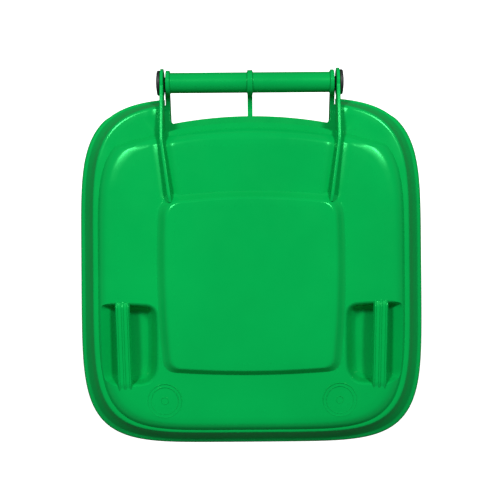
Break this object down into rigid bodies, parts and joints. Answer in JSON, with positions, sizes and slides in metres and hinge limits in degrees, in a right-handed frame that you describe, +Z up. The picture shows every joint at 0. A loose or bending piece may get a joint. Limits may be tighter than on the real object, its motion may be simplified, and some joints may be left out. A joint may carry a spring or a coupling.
{
  "type": "wheelie bin",
  "caption": "Tall tapered refuse bin with a hinged lid, a tube handle behind, hand grips in the lid and two rubber-tyred wheels on a steel axle.",
  "frame": {"origin": "on the floor, under the middle of the bin's overall box", "axes": "+Z up, -Y to the front, +Y to the handle and the wheels, +X to the bin's left-to-right width"},
  "size_m": [0.502, 0.547, 0.944],
  "materials": {
    "lid_green": "semi-gloss moulded polyethylene",
    "body_green": "semi-gloss moulded polyethylene",
    "black_plastic": "satin moulded plastic",
    "tyre_rubber": "solid rubber",
    "nylon": "satin nylon",
    "galvanised_steel": "zinc plated"
  },
  "bodies": {
    "container": {"bin_body": "body_green", "left_hinge_pin": "black_plastic", "right_hinge_pin": "black_plastic", "transponder_plug": "black_plastic", "axle": "galvanised_steel", "left_axle_washer": "galvanised_steel", "right_axle_washer": "galvanised_steel"},
    "lid": {"lid": "lid_green"},
    "left_wheel": {"left_tyre": "tyre_rubber", "left_wheel_rim": "black_plastic", "left_wheel_bush": "nylon", "left_hub_cap": "black_plastic", "left_lock_plug": "black_plastic", "left_lock_spring": "galvanised_steel"},
    "right_wheel": {"right_tyre": "tyre_rubber", "right_wheel_rim": "black_plastic", "right_wheel_bush": "nylon", "right_hub_cap": "black_plastic", "right_lock_plug": "black_plastic", "right_lock_spring": "galvanised_steel"},
    "left_lock": {"left_lock_pin": "galvanised_steel"},
    "right_lock": {"right_lock_pin": "galvanised_steel"}
  },
  "joints": [
    {"name": "lid_hinge", "type": "hinge", "parent": "container", "child": "lid", "pos_m": [0, 0.253, 0.905], "axis": [-1, 0, 0], "range_deg": [0, 270]},
    {"name": "left_wheel_spin", "type": "hinge", "parent": "container", "child": "left_wheel", "pos_m": [-0.1798, 0.165, 0.1], "axis": [1, 0, 0], "continuous": true},
    {"name": "right_wheel_spin", "type": "hinge", "parent": "container", "child": "right_wheel", "pos_m": [0.1798, 0.165, 0.1], "axis": [1, 0, 0], "continuous": true},
    {"name": "left_lock_slide", "type": "slide", "parent": "left_wheel", "child": "left_lock", "axis": [0, 0, 1], "range_m": [0, 0.003], "stiffness_N_per_m": 400, "springref_m": -0.004, "deforming": ["left_lock_spring"]},
    {"name": "right_lock_slide", "type": "slide", "parent": "right_wheel", "child": "right_lock", "axis": [0, 0, 1], "range_m": [0, 0.003], "stiffness_N_per_m": 400, "springref_m": -0.004, "deforming": ["right_lock_spring"]}
  ]
}
